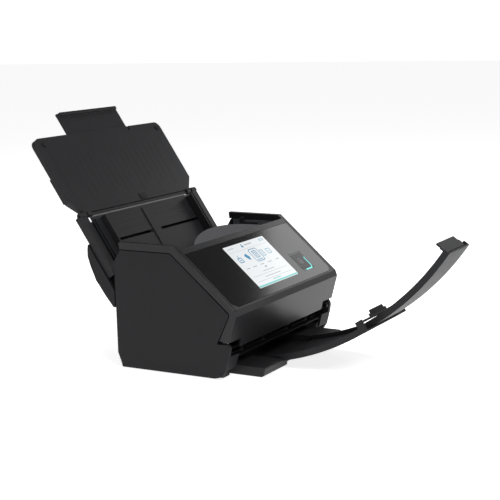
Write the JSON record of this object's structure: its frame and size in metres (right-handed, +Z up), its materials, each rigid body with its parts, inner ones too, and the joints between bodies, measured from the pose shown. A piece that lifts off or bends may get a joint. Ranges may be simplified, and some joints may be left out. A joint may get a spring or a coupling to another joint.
{
  "type": "sheet fed document scanner",
  "caption": "Desktop sheet fed document scanner with a slanted input tray, sloping control panel with touch screen and curved telescoping output tray",
  "frame": {"origin": "on the table, under the middle of the object's box", "axes": "+X to the user's right seen from the front, +Y from the front to the back, +Z up"},
  "size_m": [0.31, 0.5913, 0.3431],
  "materials": {
    "body_charcoal": "fine textured charcoal moulding",
    "rim_black": "satin black moulding",
    "panel_gloss": "polished piano black",
    "ramp_grey": "satin dark moulding",
    "screen": "lit display under glass",
    "key_black": "satin key cap",
    "light_teal": "translucent light guide",
    "steel_plate": "zinc plated sheet",
    "steel_shaft": "ground steel",
    "roller_rubber": "ground rubber",
    "foot_rubber": "black rubber",
    "guide_black": "inner paper guide moulding",
    "pulley_white": "acetal",
    "acetal_black": "black acetal",
    "belt_rubber": "toothed belt",
    "board_green": "glass fibre board",
    "sensor_glass": "clear strip glass",
    "socket_black": "socket housing"
  },
  "bodies": {
    "chassis": {"base_frame": "body_charcoal", "side_cover_left": "body_charcoal", "side_cover_right": "body_charcoal", "rear_cover": "body_charcoal", "rear_shell": "body_charcoal", "lower_tray": "body_charcoal", "tray_arm_left": "body_charcoal", "tray_arm_right": "body_charcoal", "rubber_feet": "foot_rubber", "lower_guide": "guide_black", "lower_scan_bar": "guide_black", "lower_scan_glass": "sensor_glass", "frame_plate_left": "steel_plate", "frame_plate_right": "steel_plate", "drive_motor": "steel_plate", "drive_belts": "belt_rubber", "main_board": "board_green", "power_inlet": "socket_black", "data_port": "socket_black", "cover_hinge_pins": "acetal_black", "hood_hinge_pins": "acetal_black"},
    "motor_rotor": {"motor_pulley": "pulley_white"},
    "feed_roller": {"feed_shaft": "steel_shaft", "feed_tyres": "roller_rubber", "feed_pulley": "pulley_white"},
    "pick_roller": {"pick_shaft": "steel_shaft", "pick_tyres": "roller_rubber", "pick_pulley": "pulley_white"},
    "exit_roller": {"exit_shaft": "steel_shaft", "exit_tyres": "roller_rubber", "exit_pulley": "pulley_white"},
    "left_guide": {"side_guide_left": "body_charcoal"},
    "right_guide": {"side_guide_right": "body_charcoal"},
    "guide_gear": {"guide_pinion": "pulley_white"},
    "cover": {"cover_panel": "body_charcoal", "cover_bumpers": "foot_rubber"},
    "extension": {"tray_extension": "body_charcoal"},
    "hood": {"hood_shell": "rim_black", "control_panel": "panel_gloss", "touch_screen": "screen", "key_light": "light_teal", "display_board": "board_green", "feed_ramp": "ramp_grey", "hood_cheek_left": "steel_plate", "hood_cheek_right": "steel_plate", "upper_guide": "guide_black", "upper_scan_bar": "guide_black", "upper_scan_glass": "sensor_glass"},
    "key": {"scan_key": "key_black"},
    "latch": {"hood_latch": "body_charcoal"},
    "feed_idler": {"idler_shaft": "steel_shaft", "idler_tyres": "roller_rubber"},
    "brake_roller": {"brake_shaft": "steel_shaft", "brake_tyres": "roller_rubber"},
    "exit_idler": {"exit_idlers": "acetal_black"},
    "output_drawer": {"output_base": "body_charcoal"},
    "first_tray": {"output_extension_first": "body_charcoal"},
    "second_tray": {"output_extension_second": "body_charcoal"},
    "first_stop": {"paper_stop_first": "body_charcoal"},
    "second_stop": {"paper_stop_second": "body_charcoal"}
  },
  "joints": [
    {"name": "hood_hinge", "type": "hinge", "parent": "chassis", "child": "hood", "pos_m": [0, -0.02909, 0.042], "axis": [1, 0, 0], "range_deg": [0, 42]},
    {"name": "cover_hinge", "type": "hinge", "parent": "chassis", "child": "cover", "pos_m": [0, 0.20019, 0.20707], "axis": [1, 0, 0], "range_deg": [0, 95]},
    {"name": "extension_slide", "type": "slide", "parent": "cover", "child": "extension", "axis": [0, 0.5548, 0.832], "range_m": [-0.03, 0.02]},
    {"name": "left_guide_slide", "type": "slide", "parent": "chassis", "child": "left_guide", "axis": [1, 0, 0], "range_m": [0, 0.05]},
    {"name": "right_guide_slide", "type": "slide", "parent": "chassis", "child": "right_guide", "axis": [-1, 0, 0], "range_m": [0, 0.05]},
    {"name": "guide_gear_spin", "type": "hinge", "parent": "chassis", "child": "guide_gear", "pos_m": [0, 0.17786, 0.16547], "axis": [0, -0.832, 0.5548], "continuous": true},
    {"name": "key_press", "type": "slide", "parent": "hood", "child": "key", "axis": [0, 0.6585, -0.7526], "range_m": [0, 0.0012], "stiffness_N_per_m": 400},
    {"name": "latch_lift", "type": "hinge", "parent": "hood", "child": "latch", "pos_m": [0, 0.08591, 0.1615], "axis": [1, 0, 0], "range_deg": [0, 12], "stiffness_Nm_per_rad": 0.02},
    {"name": "motor_spin", "type": "hinge", "parent": "chassis", "child": "motor_rotor", "pos_m": [0, 0.09991, 0.04607], "axis": [1, 0, 0], "continuous": true},
    {"name": "feed_spin", "type": "hinge", "parent": "chassis", "child": "feed_roller", "pos_m": [0, 0.05965, 0.03894], "axis": [1, 0, 0], "continuous": true},
    {"name": "pick_spin", "type": "hinge", "parent": "chassis", "child": "pick_roller", "pos_m": [0, 0.12476, 0.07828], "axis": [1, 0, 0], "continuous": true},
    {"name": "exit_spin", "type": "hinge", "parent": "chassis", "child": "exit_roller", "pos_m": [0, -0.01598, 0.02553], "axis": [1, 0, 0], "continuous": true},
    {"name": "feed_idler_spin", "type": "hinge", "parent": "hood", "child": "feed_idler", "pos_m": [0, 0.05595, 0.05594], "axis": [1, 0, 0], "continuous": true},
    {"name": "brake_spin", "type": "hinge", "parent": "hood", "child": "brake_roller", "pos_m": [0, 0.10779, 0.0896], "axis": [1, 0, 0], "continuous": true},
    {"name": "exit_idler_spin", "type": "hinge", "parent": "hood", "child": "exit_idler", "pos_m": [0, -0.01841, 0.03667], "axis": [1, 0, 0], "continuous": true},
    {"name": "output_drawer_slide", "type": "slide", "parent": "chassis", "child": "output_drawer", "axis": [0, 1, 0], "range_m": [0, 0.015]},
    {"name": "first_tray_slide", "type": "hinge", "parent": "output_drawer", "child": "first_tray", "pos_m": [0, 0.01491, 0.379], "axis": [1, 0, 0], "range_deg": [0, 19]},
    {"name": "second_tray_slide", "type": "hinge", "parent": "first_tray", "child": "second_tray", "pos_m": [0, 0.01491, 0.379], "axis": [1, 0, 0], "range_deg": [0, 19.5]},
    {"name": "first_stop_fold", "type": "hinge", "parent": "first_tray", "child": "first_stop", "pos_m": [0, -0.18168, 0.07396], "axis": [1, 0, 0], "range_deg": [-88, 0]},
    {"name": "second_stop_fold", "type": "hinge", "parent": "second_tray", "child": "second_stop", "pos_m": [0, -0.28969, 0.16966], "axis": [1, 0, 0], "range_deg": [-88, 0]}
  ],
  "couplings": [
    {"joint": "right_guide_slide", "follows": "left_guide_slide", "ratio": 1},
    {"joint": "guide_gear_spin", "follows": "left_guide_slide", "rad_per_m": 163.93},
    {"joint": "motor_spin", "follows": "feed_spin", "ratio": 1},
    {"joint": "pick_spin", "follows": "feed_spin", "ratio": 1},
    {"joint": "exit_spin", "follows": "feed_spin", "ratio": 1}
  ]
}
